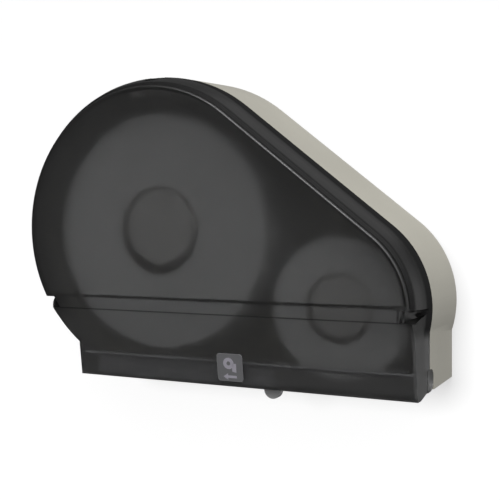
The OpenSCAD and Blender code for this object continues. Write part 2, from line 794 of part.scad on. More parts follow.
module cam_screw() {
    color([0.75, 0.75, 0.76]) face_on() {
        rod(lock_x, lock_depth, cam_low, plug_low + cam_screw_in, keeper_screw_r);
        rod(lock_x, lock_depth, cam_low - screw_head_t, cam_low, 2 * keeper_screw_r);
    }
}

// ---- slide door ----

module slide_door() {
    color([0.34, 0.34, 0.35]) face_on() difference() {
        union() {
            side_slab(slide_x, slide_x + slide_len) polygon([
                [slide_back, slide_low], [slide_front, slide_low], [slide_front, tongue_top],
                [slide_front - slide_t, tongue_top], [slide_front - slide_t, slide_low + slide_t],
                [slide_back, slide_low + slide_t]
            ]);
            slide_block(slide_x, left_block);
            slide_block(slide_x + slide_len - right_block, right_block);
            for (z = [strip_top - bead_h, slide_low + slide_h / 3])
                plan_slab(z, z + bead_h)
                    translate([slide_x, slide_front - slide_t / 2]) square([slide_len, slide_t / 2 + block_out / 2]);
        }
        translate([slide_x + left_block / 2, slide_low + slide_h / 2, slide_front - slide_t - over])
            cylinder(h = slide_t + block_out + 2 * over, r = blob_r);
    }
}

module slide_block(x, len) {
    slab(slide_front - slide_t / 2, slide_front + block_out)
        translate([x, slide_low + block_low]) square([len, slide_h - block_low]);
}

// The finger tab hangs behind the cover's lip
module finger_tab() {
    low_c = toe_z - tab_drop + tab_r;
    color([0.45, 0.45, 0.46]) face_on() slab(tab_front - tab_t, tab_front) {
        intersection() {
            translate([tab_x, low_c]) circle(tab_r);
            translate([tab_x - tab_r, low_c - tab_r]) square([2 * tab_r, slide_low - low_c + tab_r]);
        }
        translate([tab_x - tab_r, low_c]) square([2 * tab_r, slide_low - low_c]);
    }
}

// ---- rolls ----

module tube(c, r_out, r_in) {
    face_on() slab(roll_back, roll_front) translate(c) difference() {
        circle(r_out);
        circle(r_in);
    }
}

module jumbo_paper() { color([0.93, 0.93, 0.91]) tube(jumbo_roll_c, jumbo_d / 2, jumbo_core_d / 2); }
module jumbo_core() { color([0.72, 0.6, 0.45]) tube(jumbo_roll_c, jumbo_core_d / 2, jumbo_bore_r); }
module stub_paper() { color([0.93, 0.93, 0.91]) tube(stub_roll_c, stub_d / 2, stub_core_d / 2); }
module stub_core() { color([0.72, 0.6, 0.45]) tube(stub_roll_c, stub_core_d / 2, stub_bore_r); }

base_housing();
jumbo_hub();
stub_hub();
hub_screws();
hinge_pins();
jumbo_tear_bar();
stub_tear_bar();
tear_bar_screws();
lock_keeper();
keeper_screws();
cover_shell();
slide_rail();
icon_plate();
lock_housing();
lock_nut();
lock_plug();
lock_cam();
cam_screw();
slide_door();
finger_tab();
jumbo_paper();
jumbo_core();
stub_paper();
stub_core();
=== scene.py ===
"""Jumbo toilet roll dispenser: the looks of its pieces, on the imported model."""
import math
import random

import bmesh
import bpy
from mathutils import Matrix, Vector


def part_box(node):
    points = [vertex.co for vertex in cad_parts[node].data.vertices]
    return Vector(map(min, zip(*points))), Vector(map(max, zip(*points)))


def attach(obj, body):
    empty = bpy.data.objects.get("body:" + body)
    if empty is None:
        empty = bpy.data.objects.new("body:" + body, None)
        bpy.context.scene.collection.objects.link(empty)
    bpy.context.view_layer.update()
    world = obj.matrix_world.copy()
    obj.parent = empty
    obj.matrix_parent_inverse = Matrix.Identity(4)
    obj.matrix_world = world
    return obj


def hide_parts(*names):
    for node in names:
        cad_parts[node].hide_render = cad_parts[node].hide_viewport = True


bl_info = {
    "name": "Jumbo roll dispenser",
    "version": (1, 0, 0),
    "blender": (4, 5, 0),
    "location": "View3D > Sidebar > Dispenser",
    "description": "Dresses the dispenser's packed model with its finishes, small pieces and studio",
    "category": "Add Mesh",
}

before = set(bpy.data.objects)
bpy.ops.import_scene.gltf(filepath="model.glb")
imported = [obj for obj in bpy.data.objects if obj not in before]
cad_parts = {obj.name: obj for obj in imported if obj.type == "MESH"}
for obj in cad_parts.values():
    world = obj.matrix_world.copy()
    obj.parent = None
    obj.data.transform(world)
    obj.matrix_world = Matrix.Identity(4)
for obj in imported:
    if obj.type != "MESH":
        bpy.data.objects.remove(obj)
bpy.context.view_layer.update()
MM = 0.001
# Lengths closer than this are the same, in metres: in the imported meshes, and along a line that was reckoned out
SAME, SAME_FINE = 1e-5, 1e-6
# Packed corners closer than this are one, in metres
DOUBLES = 2e-6


# ---- shader trees ----


class Wire:
    """A value in a shader tree. Python's operators add the Math nodes, and node() adds any other node."""

    def __init__(self, tree, socket=None):
        self.tree, self.socket = tree, socket

    def node(self, kind, settings=None, inputs=None, output=0):
        """Adds a node, sets its settings, then the values or links of its sockets, and gives one output."""
        made = self.tree.nodes.new(kind)
        for name, value in (settings or {}).items():
            setattr(made, name, value)
        for name, value in (inputs or {}).items():
            if isinstance(value, Wire):
                self.tree.links.new(value.socket, made.inputs[name])
            else:
                made.inputs[name].default_value = value
        return Wire(self.tree, made.outputs[output] if made.outputs else None)

    def maths(self, operation, *values):
        return self.node("ShaderNodeMath", {"operation": operation}, dict(enumerate(values)))

    def __add__(self, other):
        return self.maths("ADD", self, other)

    def __radd__(self, other):
        return self.maths("ADD", other, self)

    def __sub__(self, other):
        return self.maths("SUBTRACT", self, other)

    def __rsub__(self, other):
        return self.maths("SUBTRACT", other, self)

    def __mul__(self, other):
        return self.maths("MULTIPLY", self, other)

    def __rmul__(self, other):
        return self.maths("MULTIPLY", other, self)

    def __truediv__(self, other):
        return self.maths("DIVIDE", self, other)

    def __pow__(self, other):
        return self.maths("POWER", self, other)

    def ramp(self, low, high):
        """0 below low and 1 above high, smoothly."""
        return self.node(
            "ShaderNodeMapRange", {"interpolation_type": "SMOOTHSTEP"},
            {"Value": self, "From Min": low, "From Max": high},
        )

    def coordinates(self, centre=(0.0, 0.0, 0.0), scale=(1.0, 1.0, 1.0)):
        """Object coordinates about a centre, stretched by a scale."""
        place = self.node("ShaderNodeTexCoord", output="Object")
        shift = [-c * s for c, s in zip(centre, scale)]
        return self.node("ShaderNodeMapping", {}, {"Vector": place, "Location": shift, "Scale": scale})

    def parts(self):
        """A vector's x, y and z."""
        return [self.node("ShaderNodeSeparateXYZ", {}, {0: self}, i) for i in range(3)]

    def around(self, middle, swing):
        """A middle value that this noise moves up and down, by half the swing each way."""
        return middle + swing * (self - 0.5)

    def noise(self, place, scale, detail=2.0, rough=0.5):
        return self.node(
            "ShaderNodeTexNoise", {}, {"Vector": place, "Scale": scale, "Detail": detail, "Roughness": rough}, "Fac"
        )

    def rings(self, turns, detail):
        """Noise along one line only, so that it makes rings where that line is a radius."""
        return self.node(
            "ShaderNodeTexNoise", {"noise_dimensions": "1D"}, {"W": turns, "Scale": 1.0, "Detail": detail}, "Fac"
        )

    def blend(self, factor, first, second):
        """One colour blended into another."""
        return self.node("ShaderNodeMix", {"data_type": "RGBA"}, {0: factor, 6: first, 7: second}, 2)

    def tones(self, factor, colour, low, high):
        """A colour that goes from one tone to another with a factor."""
        return self.blend(factor, shade(colour, low), shade(colour, high))

    def bump(self, height, distance):
        return self.node("ShaderNodeBump", {}, {"Height": height, "Distance": distance, "Strength": 1.0})


def new_finish(name):
    """An empty material and the start of its tree."""
    made = bpy.data.materials.new(name)
    made.use_nodes = True
    made.node_tree.nodes.clear()
    return made, Wire(made.node_tree)


def close_finish(made, start, **sockets):
    """Ends a material in the Principled shader, with the sockets named by their labels."""
    surface = start.node("ShaderNodeBsdfPrincipled", {}, {k.replace("_", " "): v for k, v in sockets.items()})
    start.node("ShaderNodeOutputMaterial", {}, {"Surface": surface})
    return made


def shade(colour, by):
    """A colour made lighter or darker."""
    return (*[min(1.0, c * by) for c in colour[:3]], 1.0)


def grain(start, place, size, depth):
    """The fine spark-eroded grain of a mould, as a bump."""
    fine = start.noise(place, 1.0 / size, 3.0, 0.6)
    return start.bump(fine, depth)


# ---- finishes ----

# Where the cover's looks change and where shade is painted on it, each between two depths (y, negative to the front)
# or two heights (z), in metres
LEDGE_FRONT, LEDGE_BACK, RIM_FRONT = (-0.1096, -0.1086), (-0.1062, -0.1040), (-0.093, -0.088)
LEDGE_END, LOWER_FACE = (-0.0275, -0.0260), (-0.056, -0.044)
LIP_FOOT, LIP_TOP = (-0.0388, -0.0382), (-0.0378, -0.0372)
# How strongly shade is painted there, as a mix into near-black diffuse, from 0 to 1
# Painted shade in the ledge's hollow round the face and in the crease at the groove's lower edge; along the rim by
# the seam, painted shadow of the gap together with the thick plastic's own darkness
LEDGE_PAINTED_SHADE, RIM_PAINTED_SHADE, LIP_PAINTED_SHADE = 0.85, 0.9, 0.4
# How squarely the cover's wall faces the front or back where it counts as its side, and where as its face
SQUARE_TO_FRONT = (0.72, 0.97)


def smoke_plastic(colours, sizes):
    """Frosted smoke polycarbonate: darker on its slanting side than on its face; painted shade in its ledge and
    groove's crease, darkest at its rim.
    """
    made, start = new_finish("smoke_polycarbonate")
    place = start.coordinates()
    cloud = start.noise(place, 18.0, 3.0)
    _, y, z = place.parts()
    facing = start.maths("ABSOLUTE", start.node("ShaderNodeTexCoord", output="Normal").parts()[1])
    above = z.ramp(*LOWER_FACE)
    slant = (1 - facing.ramp(*SQUARE_TO_FRONT)) * above
    in_front = 1 - y.ramp(*LEDGE_BACK)
    ledge = y.ramp(*LEDGE_FRONT) * in_front * z.ramp(*LEDGE_END)
    lip = z.ramp(*LIP_FOOT) * (1 - z.ramp(*LIP_TOP)) * in_front
    # Where shade is painted: the ledge's hollow, the rim by the seam and the groove's crease
    painted_shade = ledge * LEDGE_PAINTED_SHADE + y.ramp(*RIM_FRONT) * above * RIM_PAINTED_SHADE + lip * LIP_PAINTED_SHADE
    tint = start.tones(slant, colours.cover, 1.0, sizes.side_tint)
    normal = grain(start, place, sizes.grain * MM, 0.01 * MM)
    clear = start.node("ShaderNodeBsdfPrincipled", {}, {
        "Base Color": tint, "Roughness": cloud.around(sizes.cover_frost, 0.06), "IOR": 1.5,
        "Transmission Weight": 1.0, "Normal": normal,
    })
    # The near-black diffuse into which the painted shade mixes
    painted_dark = start.node("ShaderNodeBsdfDiffuse", {}, {"Color": shade(colours.cover, 0.03), "Normal": normal})
    both = start.node("ShaderNodeMixShader", {}, {0: painted_shade, 1: clear, 2: painted_dark})
    start.node("ShaderNodeOutputMaterial", {}, {"Surface": both})
    return made


# The heights between which moulded plastic goes from darker, lower down, back to its own colour, in metres
DARKER_LOW_HEIGHTS = (-0.11, -0.06)


def moulded_plastic(name, colour, sizes, rough, grain_by=1.0, darken_low=0.0):
    """Opaque moulded plastic: an even colour with faint clouding, fine grain, and darker towards the bottom."""
    made, start = new_finish(name)
    place = start.coordinates()
    cloud = start.noise(place, 9.0, 4.0)
    speck = start.noise(place, 420.0, 2.0)
    tone = start.tones(cloud.ramp(0.3, 0.7), colour, 0.96, 1.04)
    tone = start.blend(speck.ramp(0.55, 0.75) * 0.35, tone, shade(colour, 0.9))
    if darken_low:
        # Darker towards the bottom, by the share given
        tone = start.blend((1 - place.parts()[2].ramp(*DARKER_LOW_HEIGHTS)) * darken_low, tone, shade(colour, 0.8))
    return close_finish(
        made, start,
        Base_Color=tone,
        Roughness=speck.around(cloud.around(rough, 0.08), 0.05),
        Normal=grain(start, place, sizes.grain * grain_by * MM, 0.03 * MM),
    )


def brushed_metal(name, colour, along, rough=0.28):
    """Metal with fine brush lines along one axis."""
    made, start = new_finish(name)
    scale = [2600.0] * 3
    scale[along] = 60.0
    lines = start.noise(start.coordinates(scale=scale), 1.0, 2.0)
    cloud = start.noise(start.coordinates(), 60.0, 3.0)
    return close_finish(
        made, start,
        Base_Color=start.tones(lines, colour, 0.86, 1.06),
        Metallic=1.0,
        Roughness=cloud.around(lines.around(rough, 0.12), 0.1),
        Normal=start.bump(lines, 0.008 * MM),
    )


def plated_metal(name, colour, rough=0.22):
    """Zinc or nickel plate: bright, with soft clouding and small pits."""
    made, start = new_finish(name)
    place = start.coordinates()
    cloud = start.noise(place, 240.0, 3.0)
    pits = start.noise(place, 1500.0, 2.0)
    return close_finish(
        made, start,
        Base_Color=start.tones(cloud, colour, 0.82, 1.05),
        Metallic=1.0,
        Roughness=cloud.around(rough, 0.14),
        Normal=start.bump(pits, 0.01 * MM),
    )


# The embossed dots round a paper roll: so many to a turn, and their pitch along its axis in millimetres
DOTS_ROUND, DOT_PITCH = 130.0, 5.2


def wound_paper(name, colours, centre, ring):
    """Tissue wound on a roll: the layers' edges as fine rings on the ends, an embossed dot pattern round it."""
    made, start = new_finish(name)
    place = start.coordinates(centre)
    x, y, z = place.parts()
    radius = (x ** 2 + z ** 2) ** 0.5
    wander = start.noise(place, 22.0)
    layers = start.rings((radius + wander * (1.2 * MM)) / (ring * MM), 3.0)
    broad = start.rings(radius / (6 * ring * MM), 1.0)
    fluff = start.noise(place, 900.0, 4.0, 0.7)
    turn = start.maths("ARCTAN2", z, x)
    quilt = start.maths("SINE", turn * DOTS_ROUND) * start.maths("SINE", y * (2 * math.pi / (DOT_PITCH * MM)))
    facing = start.maths("ABSOLUTE", start.node("ShaderNodeNewGeometry", output="Normal").parts()[1])
    end = facing.ramp(0.6, 0.9)
    height = end * (layers * 0.5 + broad * 0.5) + (1 - end) * quilt * 0.6 + fluff * 0.25
    tone = start.blend(layers.ramp(0.35, 0.65) * end, shade(colours.paper, 0.9), (*colours.paper, 1.0))
    tone = start.blend(broad.ramp(0.4, 0.7) * 0.3, tone, shade(colours.paper, 0.93))
    return close_finish(
        made, start, Base_Color=tone, Roughness=0.95 - 0.08 * fluff, Normal=start.bump(height, 0.25 * MM),
    )


def cardboard(colours):
    """Grey-brown spiral-wound board: long fibres, flecks and the lighter cut edge."""
    made, start = new_finish("core_board")
    place = start.coordinates()
    fibre = start.noise(start.coordinates(scale=(300.0, 1400.0, 1400.0)), 1.0, 4.0)
    fleck = start.noise(place, 700.0, 2.0)
    tone = start.tones(fibre, colours.board, 0.82, 1.12)
    tone = start.blend(fleck.ramp(0.62, 0.7) * 0.5, tone, shade(colours.board, 0.55))
    return close_finish(
        made, start, Base_Color=tone, Roughness=fibre.around(0.85, 0.1), Normal=start.bump(fibre, 0.08 * MM),
    )


def printed_plate(name, colour, sizes, rough=0.4):
    """The icon plate's and its marks' satin plastic."""
    made, start = new_finish(name)
    place = start.coordinates()
    cloud = start.noise(place, 120.0, 3.0)
    return close_finish(
        made, start,
        Base_Color=start.tones(cloud, colour, 0.94, 1.05),
        Roughness=cloud.around(rough, 0.08),
        Normal=grain(start, place, 0.5 * sizes.grain * MM, 0.01 * MM),
    )


# The wall's own even light, and the share of its colour that the lamp lights
WALL_GLOW, WALL_LIT = 0.72, 0.11


def backdrop_finish(colours):
    """The wall and floor: matt, mostly evenly lit, and open from behind so that the back can be looked at."""
    made, start = new_finish("backdrop")
    lit = start.node("ShaderNodeBsdfDiffuse", {}, {"Color": shade(colours.wall, WALL_LIT), "Roughness": 1.0})
    glow = start.node("ShaderNodeEmission", {}, {"Color": (*colours.wall, 1.0), "Strength": WALL_GLOW})
    front = start.node("ShaderNodeAddShader", {}, {0: lit, 1: glow})
    behind = start.node("ShaderNodeNewGeometry", output="Backfacing")
    both = start.node(
        "ShaderNodeMixShader", {}, {0: behind, 1: front, 2: start.node("ShaderNodeBsdfTransparent")}
    )
    start.node("ShaderNodeOutputMaterial", {}, {"Surface": both})
    return made


# ---- meshes ----

# Faces that turn by less than this are one flat, in degrees
FLAT = 0.6
# How much the sharp edges of the lesser pieces are broken, in millimetres
COVER_EDGE, INNER_EDGE, CORE_EDGE, PIN_EDGE, ICON_EDGE = 0.25, 0.3, 0.25, 0.2, 0.15


def new_mesh(name, form):
    """A form's mesh; the form itself is dropped."""
    mesh = bpy.data.meshes.new(name)
    form.to_mesh(mesh)
    form.free()
    return mesh


def new_holder(name, data):
    """An object in the scene that holds a mesh, a lamp or a camera."""
    holder = bpy.data.objects.new(name, data)
    bpy.context.scene.collection.objects.link(holder)
    return holder


def new_piece(name, mesh, finish, body, slot, *nodes):
    """Puts a finished mesh in the scene on its body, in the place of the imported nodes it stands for."""
    piece = new_holder(name, mesh)
    mesh.materials.clear()
    mesh.materials.append(finish)
    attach(piece, body)
    if nodes:
        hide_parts(*nodes)


def settled(piece):
    """A piece's mesh with its modifiers made part of it; the piece itself is dropped."""
    bpy.context.view_layer.update()
    seen = piece.evaluated_get(bpy.context.evaluated_depsgraph_get())
    mesh = bpy.data.meshes.new_from_object(seen)
    piece.modifiers.clear()
    old = piece.data
    bpy.data.objects.remove(piece)
    bpy.data.meshes.remove(old)
    return mesh


def packed_form(node):
    """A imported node's mesh with its doubles merged."""
    form = bmesh.new()
    form.from_mesh(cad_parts[node].data)
    bmesh.ops.remove_doubles(form, verts=form.verts, dist=DOUBLES)
    return form


def is_buried(face):
    """Whether a face lies inside the wall: most of its edges don't part just two faces."""
    return sum(len(edge.link_faces) != 2 for edge in face.edges) > len(face.edges) / 2


def clean_copy(node, edge, angle=30.0, segments=2, reshape=None):
    """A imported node's mesh with its flats joined, its buried faces left out and its sharp edges broken."""
    form = packed_form(node)
    bmesh.ops.dissolve_limit(
        form, angle_limit=math.radians(FLAT), verts=form.verts, edges=form.edges, delimit={"NORMAL"}
    )
    while buried := [face for face in form.faces if is_buried(face)]:
        bmesh.ops.delete(form, geom=buried, context="FACES")
    if reshape:
        reshape(form)
    for face in form.faces:
        face.smooth = True
    mesh = new_mesh(node + "_form", form)
    mesh.set_sharp_from_angle(angle=math.radians(angle))
    holder = new_holder(node + "_form", mesh)
    broken = holder.modifiers.new("Broken edges", "BEVEL")
    broken.width = edge * MM
    broken.segments = segments
    broken.limit_method = "ANGLE"
    broken.angle_limit = math.radians(angle)
    broken.miter_outer = "MITER_ARC"
    shading = holder.modifiers.new("Flat flats", "WEIGHTED_NORMAL")
    shading.keep_sharp = True
    shading.weight = 100
    return settled(holder)


# How far the rings of the cover's side move inward and out from the wall, in millimetres: the face's own edge, the
# chamfer's foot, the ledge round the face and its shoulder, then the side down to the seam
SIDE_SHIFTS = (
    (-1.2, 0.0), (-1.2, 0.0), (-0.6, -1.2), (-1.9, -1.9), (-1.2, 0.0), (-1.0, 0.0), (-0.6, 0.0), (-0.3, 0.0),
)


# A face whose normal's y is below this looks straight to the front
TO_FRONT = -0.999


def face_outline(form):
    """The cover's face above its groove, its edge along the groove, and the way inward at each of its corners."""
    front = min(vert.co.y for vert in form.verts)
    face = max(
        (f for f in form.faces if f.normal.y < TO_FRONT and abs(f.verts[0].co.y - front) < SAME_FINE),
        key=lambda f: f.calc_area(),
    )
    groove = max(face.edges, key=lambda e: e.calc_length())
    middle = face.calc_center_median()
    inward = {vert: Vector() for vert in face.verts}
    for edge in face.edges:
        if edge == groove:
            continue
        run = edge.verts[1].co - edge.verts[0].co
        across = Vector((run.z, 0, -run.x)).normalized()
        if across.dot(middle - edge.verts[0].co) < 0:
            across.negate()
        for vert in edge.verts:
            inward[vert] += across
    for vert, way in inward.items():
        way.normalize()
        if vert in groove.verts:
            level = Vector((math.copysign(1, way.x), 0, 0))
            inward[vert] = level / level.dot(way)
    return face, groove, inward


def shape_side(form):
    """Widens the ledge round the cover's face, and fills its side out to a fuller curve."""
    face, groove, inward = face_outline(form)
    floor = groove.verts[0].co.z - SAME
    corners = [(vert.co.xz, way) for vert, way in inward.items()]
    edge = max((e for e in face.edges if e != groove), key=lambda e: e.calc_length())
    depths = [edge.verts[0].co.y]
    while len(depths) < len(SIDE_SHIFTS):
        face = next(f for f in edge.link_faces if f != face)
        edge = next(e for e in face.edges if not set(e.verts) & set(edge.verts))
        depths.append(edge.verts[0].co.y)
    for depth, (into, out) in zip(depths, SIDE_SHIFTS):
        for vert in form.verts:
            if vert.co.z > floor and abs(vert.co.y - depth) < SAME:
                way = min(corners, key=lambda corner: (corner[0] - vert.co.xz).length)[1]
                vert.co += way * into * MM
                vert.co.y -= out * MM


def round_face_edge(form, radius, pieces=6, slack=1e-4):
    """Turns the chamfer round the cover's face into a rounding that runs into the face and into its wall.

    The slack is how far past its ends a riser still counts, as a share of its height.
    """
    face, groove, inward = face_outline(form)
    chamfer = [f for e in face.edges if e != groove for f in e.link_faces if f != face]
    risers = {}
    for flat in chamfer:
        for edge in flat.edges:
            top = [v for v in edge.verts if v in inward]
            if len(top) == 1:
                risers[edge] = (edge.other_vert(top[0]), top[0])
    foot, top = next(iter(risers.values()))
    size = foot.co.y - top.co.y
    wall = max((e for e in foot.link_edges if e not in risers), key=lambda e: e.other_vert(foot).co.y)
    down = wall.other_vert(foot).co - foot.co
    lean = -down.dot(inward[top]) / down.y
    turn = math.pi / 2 - math.atan(lean)
    reach = radius * math.tan(turn / 2)
    lines = [(low.co.copy(), high.co.copy(), inward[high]) for low, high in risers.values()]
    foot_y = foot.co.y
    bmesh.ops.subdivide_edges(form, edges=list(risers), cuts=pieces - 1)
    for vert in form.verts:
        part = (foot_y - vert.co.y) / size
        if not -slack < part < 1 + slack:
            continue
        way = next((w for start, end, w in lines if (start.lerp(end, part) - vert.co).length < SAME_FINE), None)
        if way is None:
            continue
        left = turn * (1 - part)
        vert.co += way * (size * lean + reach - radius * math.sin(left) - size * part)
        vert.co.y -= size - radius + radius * math.cos(left) - size * part


# The face that ends the cover's groove is between these two sizes, in square metres
END_AREA = (5e-5, 9e-5)
# The ends of the groove start to climb at the last ring of corners in front of this depth, in metres
CLIMB_FROM = -0.1055
# Corners of the groove's end belong together when they are this near in depth and in height, in millimetres
NEAR_DEPTH, NEAR_HEIGHT = 3.5, 0.1
# A corner lies at the groove's bottom when it is sunk by between these shares of the groove's depth
SUNK = (0.6, 1.25)


def run_out_groove(form, rise=8.0, left=0.3):
    """Lets both ends of the cover's groove climb to the side and narrow towards the wall.

    The rise of its lower lip and the depth that is left at the wall are in millimetres.
    """
    high = face_outline(form)[1].verts[0].co.z
    ends = [
        f for f in form.faces
        if f.normal.y < TO_FRONT and END_AREA[0] < f.calc_area() < END_AREA[1]
        and max(v.co.z for v in f.verts) < high + SAME
    ]
    for side in (-1, 1):
        end = next(f for f in ends if f.verts[0].co.x * side > 0)
        start, low = end.verts[0].co.y, min(v.co.z for v in end.verts)
        upper = sorted(v.co.x * side for v in end.verts if v.co.z > high - SAME)
        lower = max(v.co.x * side for v in end.verts if v.co.z < low + SAME)
        deep, lean = upper[-1] - upper[0], (upper[-1] - lower) / (high - low)
        level = [
            v for v in form.verts
            if low - SAME < v.co.z < high + SAME and v.co.x * side > 0 and v.co.y < start + SAME
        ]
        front = max(v.co.y for v in level if v.co.y < CLIMB_FROM)
        moves = []
        for vert in level:
            share = max(0.0, (vert.co.y - front) / (start - front))
            near = max(
                v.co.x * side for v in level
                if abs(v.co.y - vert.co.y) < NEAR_DEPTH * MM and abs(v.co.z - vert.co.z) < NEAR_HEIGHT * MM
            )
            sunk = SUNK[0] < (near - vert.co.x * side) / deep < SUNK[1]
            up = rise * MM * share * (high - vert.co.z) / (high - low)
            moves.append((vert, Vector((side * (lean * up + sunk * share * (deep - left * MM)), 0, up))))
        for vert, move in moves:
            vert.co += move


def turned(profile, axis_x, axis_z, steps=192):
    """A closed form of revolution about an axis along Y, from its (radius, depth) outline in metres."""
    form = bmesh.new()
    rings = []
    for radius, depth in profile:
        rings.append([
            form.verts.new((
                axis_x + radius * math.cos(2 * math.pi * i / steps), -depth,
                axis_z + radius * math.sin(2 * math.pi * i / steps),
            )) for i in range(steps)
        ])
    for a, b in zip(rings, rings[1:] + rings[:1]):
        for i in range(steps):
            j = (i + 1) % steps
            form.faces.new((a[i], a[j], b[j], b[i])).smooth = True
    bmesh.ops.recalc_face_normals(form, faces=form.faces)
    return new_mesh("turned", form)


def loose_boxes(node):
    """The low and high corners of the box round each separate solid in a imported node, from left to right."""
    form = packed_form(node)
    left, found = set(form.verts), []
    while left:
        near, heap = [], [left.pop()]
        while heap:
            vert = heap.pop()
            near.append(vert.co.copy())
            for edge in vert.link_edges:
                other = edge.other_vert(vert)
                if other in left:
                    left.remove(other)
                    heap.append(other)
        low = Vector([min(p[i] for p in near) for i in range(3)])
        high = Vector([max(p[i] for p in near) for i in range(3)])
        found.append((low, high))
    form.free()
    return sorted(found, key=lambda pair: tuple(pair[0]))


# ---- sizes and colours ----


def length(name, description, value, low, high):
    """A size in millimetres."""
    return bpy.props.FloatProperty(name=name, description=description, default=value, min=low, max=high)


def colour(name, description, value):
    """A colour without its alpha."""
    return bpy.props.FloatVectorProperty(
        name=name, description=description, default=value, subtype="COLOR", size=3, min=0.0, max=1.0
    )


class DISPENSER_PG_sizes(bpy.types.PropertyGroup):
    """Sizes of the finish and of the small pieces."""

    edge: length("Edge", "How much a thick moulding's edge is broken, in millimetres", 0.4, 0.05, 1.0)
    fine_edge: length("Fine edge", "How much a metal edge is broken, in millimetres", 0.12, 0.02, 0.5)
    grain: length("Grain", "Size of the moulded grain, in millimetres", 0.5, 0.1, 3.0)
    cover_frost: bpy.props.FloatProperty(
        name="Cover frost", description="Roughness of the smoke cover", default=0.35, min=0.0, max=1.0
    )
    face_round: length("Face edge", "Radius of the cover's face edge, in millimetres", 2.4, 0.8, 3.0)
    side_tint: bpy.props.FloatProperty(
        name="Side tint", description="Tint of the smoke cover's sides, as a share of its face's", default=0.06,
        min=0.0, max=1.0,
    )
    ring: length("Paper ring", "Pitch of the rings on the paper's ends, in millimetres", 0.9, 0.2, 4.0)
    roll_edge: length("Roll edge", "How round the paper's edges are, in millimetres", 1.2, 0.2, 4.0)
    recess: length("Screw recess", "Width of the cross recess's arms, in millimetres", 0.7, 0.3, 2.0)
    mark_proud: length("Mark height", "How far the marks stand on the icon plate, in millimetres", 0.12, 0.05, 0.4)


class DISPENSER_PG_colours(bpy.types.PropertyGroup):
    """Colours of the finishes."""

    cover: colour("Cover", "Tint of the smoke cover", (0.405, 0.405, 0.41))
    housing: colour("Housing", "The wall housing's plastic", (0.32, 0.309, 0.268))
    hub: colour("Hub", "The hubs' plastic", (0.74, 0.73, 0.70))
    slide: colour("Slide", "The slide door's plastic", (0.42, 0.42, 0.425))
    paper: colour("Paper", "The rolls' tissue", (0.86, 0.86, 0.84))
    board: colour("Board", "The cores' cardboard", (0.11, 0.09, 0.07))
    plate: colour("Icon plate", "The icon plate", (0.115, 0.115, 0.12))
    mark: colour("Icon marks", "The marks on the icon plate", (0.285, 0.272, 0.312))
    steel: colour("Steel", "Tear bars and screws", (0.62, 0.62, 0.62))
    nickel: colour("Nickel", "The lock's plated metal", (0.60, 0.59, 0.56))
    wall: colour("Wall", "The wall and floor", (0.9, 0.9, 0.9))


def settings():
    """The scene's sizes and colours."""
    scene = bpy.context.scene
    return scene.dispenser_sizes, scene.dispenser_colours


# ---- pieces ----

# The sky's even light, low and high up
SKY_LOW, SKY_MORE = 0.055, 0.17
# Soft lights in the sky: the way to each, its strength, and the cosines of the angles at its edge and at its core
SOFT_LIGHTS = (
    ((0.40, -0.66, 0.62), 2.7, 0.84, 0.96),
    ((0.10, -0.86, 0.50), 0.7, 0.86, 0.96),
    ((0.17, -0.40, 0.90), 5.5, 0.90, 0.985),
    ((-0.05, -0.35, 0.94), 0.7, 0.78, 0.97),
    ((0.99, 0.00, 0.10), 0.6, 0.55, 0.95),
    ((0.33, 0.46, 0.82), 0.55, 0.90, 0.985),
    ((-0.44, -0.78, -0.45), 0.12, 0.86, 0.97),
    ((0.44, 0.90, -0.06), 0.2, 0.90, 0.98),
    ((0.96, 0.27, -0.06), 0.5, 0.88, 0.98),
    ((-0.86, -0.50, -0.02), 0.3, 0.86, 0.96),
    ((0.80, -0.58, 0.10), 0.4, 0.80, 0.97),
)
# The lamp that lights the wall alone: its strength, its width in degrees and the way it shines
LAMP_STRENGTH, LAMP_WIDTH, LAMP_WAY = 13.0, 21, (0.12, 1.0, -0.18)
# The camera's place in metres, its yaw, pitch and roll in degrees, and its lens and sensor in millimetres
CAMERA_PLACE, CAMERA_TURN = (0.4373, -0.8254, 0.0600), (26.166, 2.718, -0.641)
CAMERA_LENS, CAMERA_SENSOR = 63.59, 36.0


